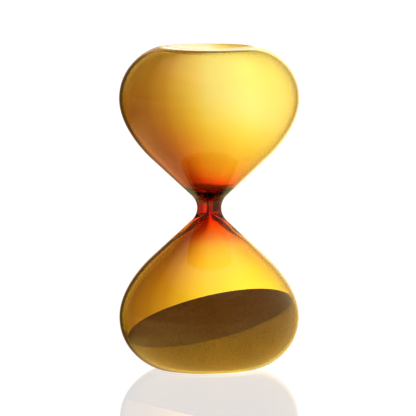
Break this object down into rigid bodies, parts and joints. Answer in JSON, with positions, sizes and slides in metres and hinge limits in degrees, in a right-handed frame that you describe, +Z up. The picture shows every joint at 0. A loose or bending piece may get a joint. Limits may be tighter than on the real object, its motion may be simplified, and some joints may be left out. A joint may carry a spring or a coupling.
{
  "type": "hourglass",
  "caption": "Frameless amber glass hourglass: round bulbs on a thick red waist, flat dished ends and a sloping bed of sand.",
  "frame": {"origin": "centre of the foot ring, on the surface that the hourglass stands on", "axes": "+Z up along the axis of the glass, -Y towards the viewer, +X to the viewer's right"},
  "size_m": [0.0838, 0.0838, 0.15],
  "materials": {
    "amber_glass": "clear amber glass, fire polished",
    "red_glass": "deep red where the amber glass is thick",
    "sand": "fine dry sand"
  },
  "bodies": {
    "glass": {"lower_bulb": "amber_glass", "waist": "red_glass", "upper_bulb": "amber_glass", "base_disc": "amber_glass", "top_disc": "amber_glass", "fill_seal": "amber_glass"},
    "sand": {"sand_bed": "sand"}
  },
  "joints": [
    {"name": "sand_swirl", "type": "hinge", "parent": "glass", "child": "sand", "pos_m": [0, 0, 0.02], "axis": [0, 0, 1], "continuous": true}
  ]
}
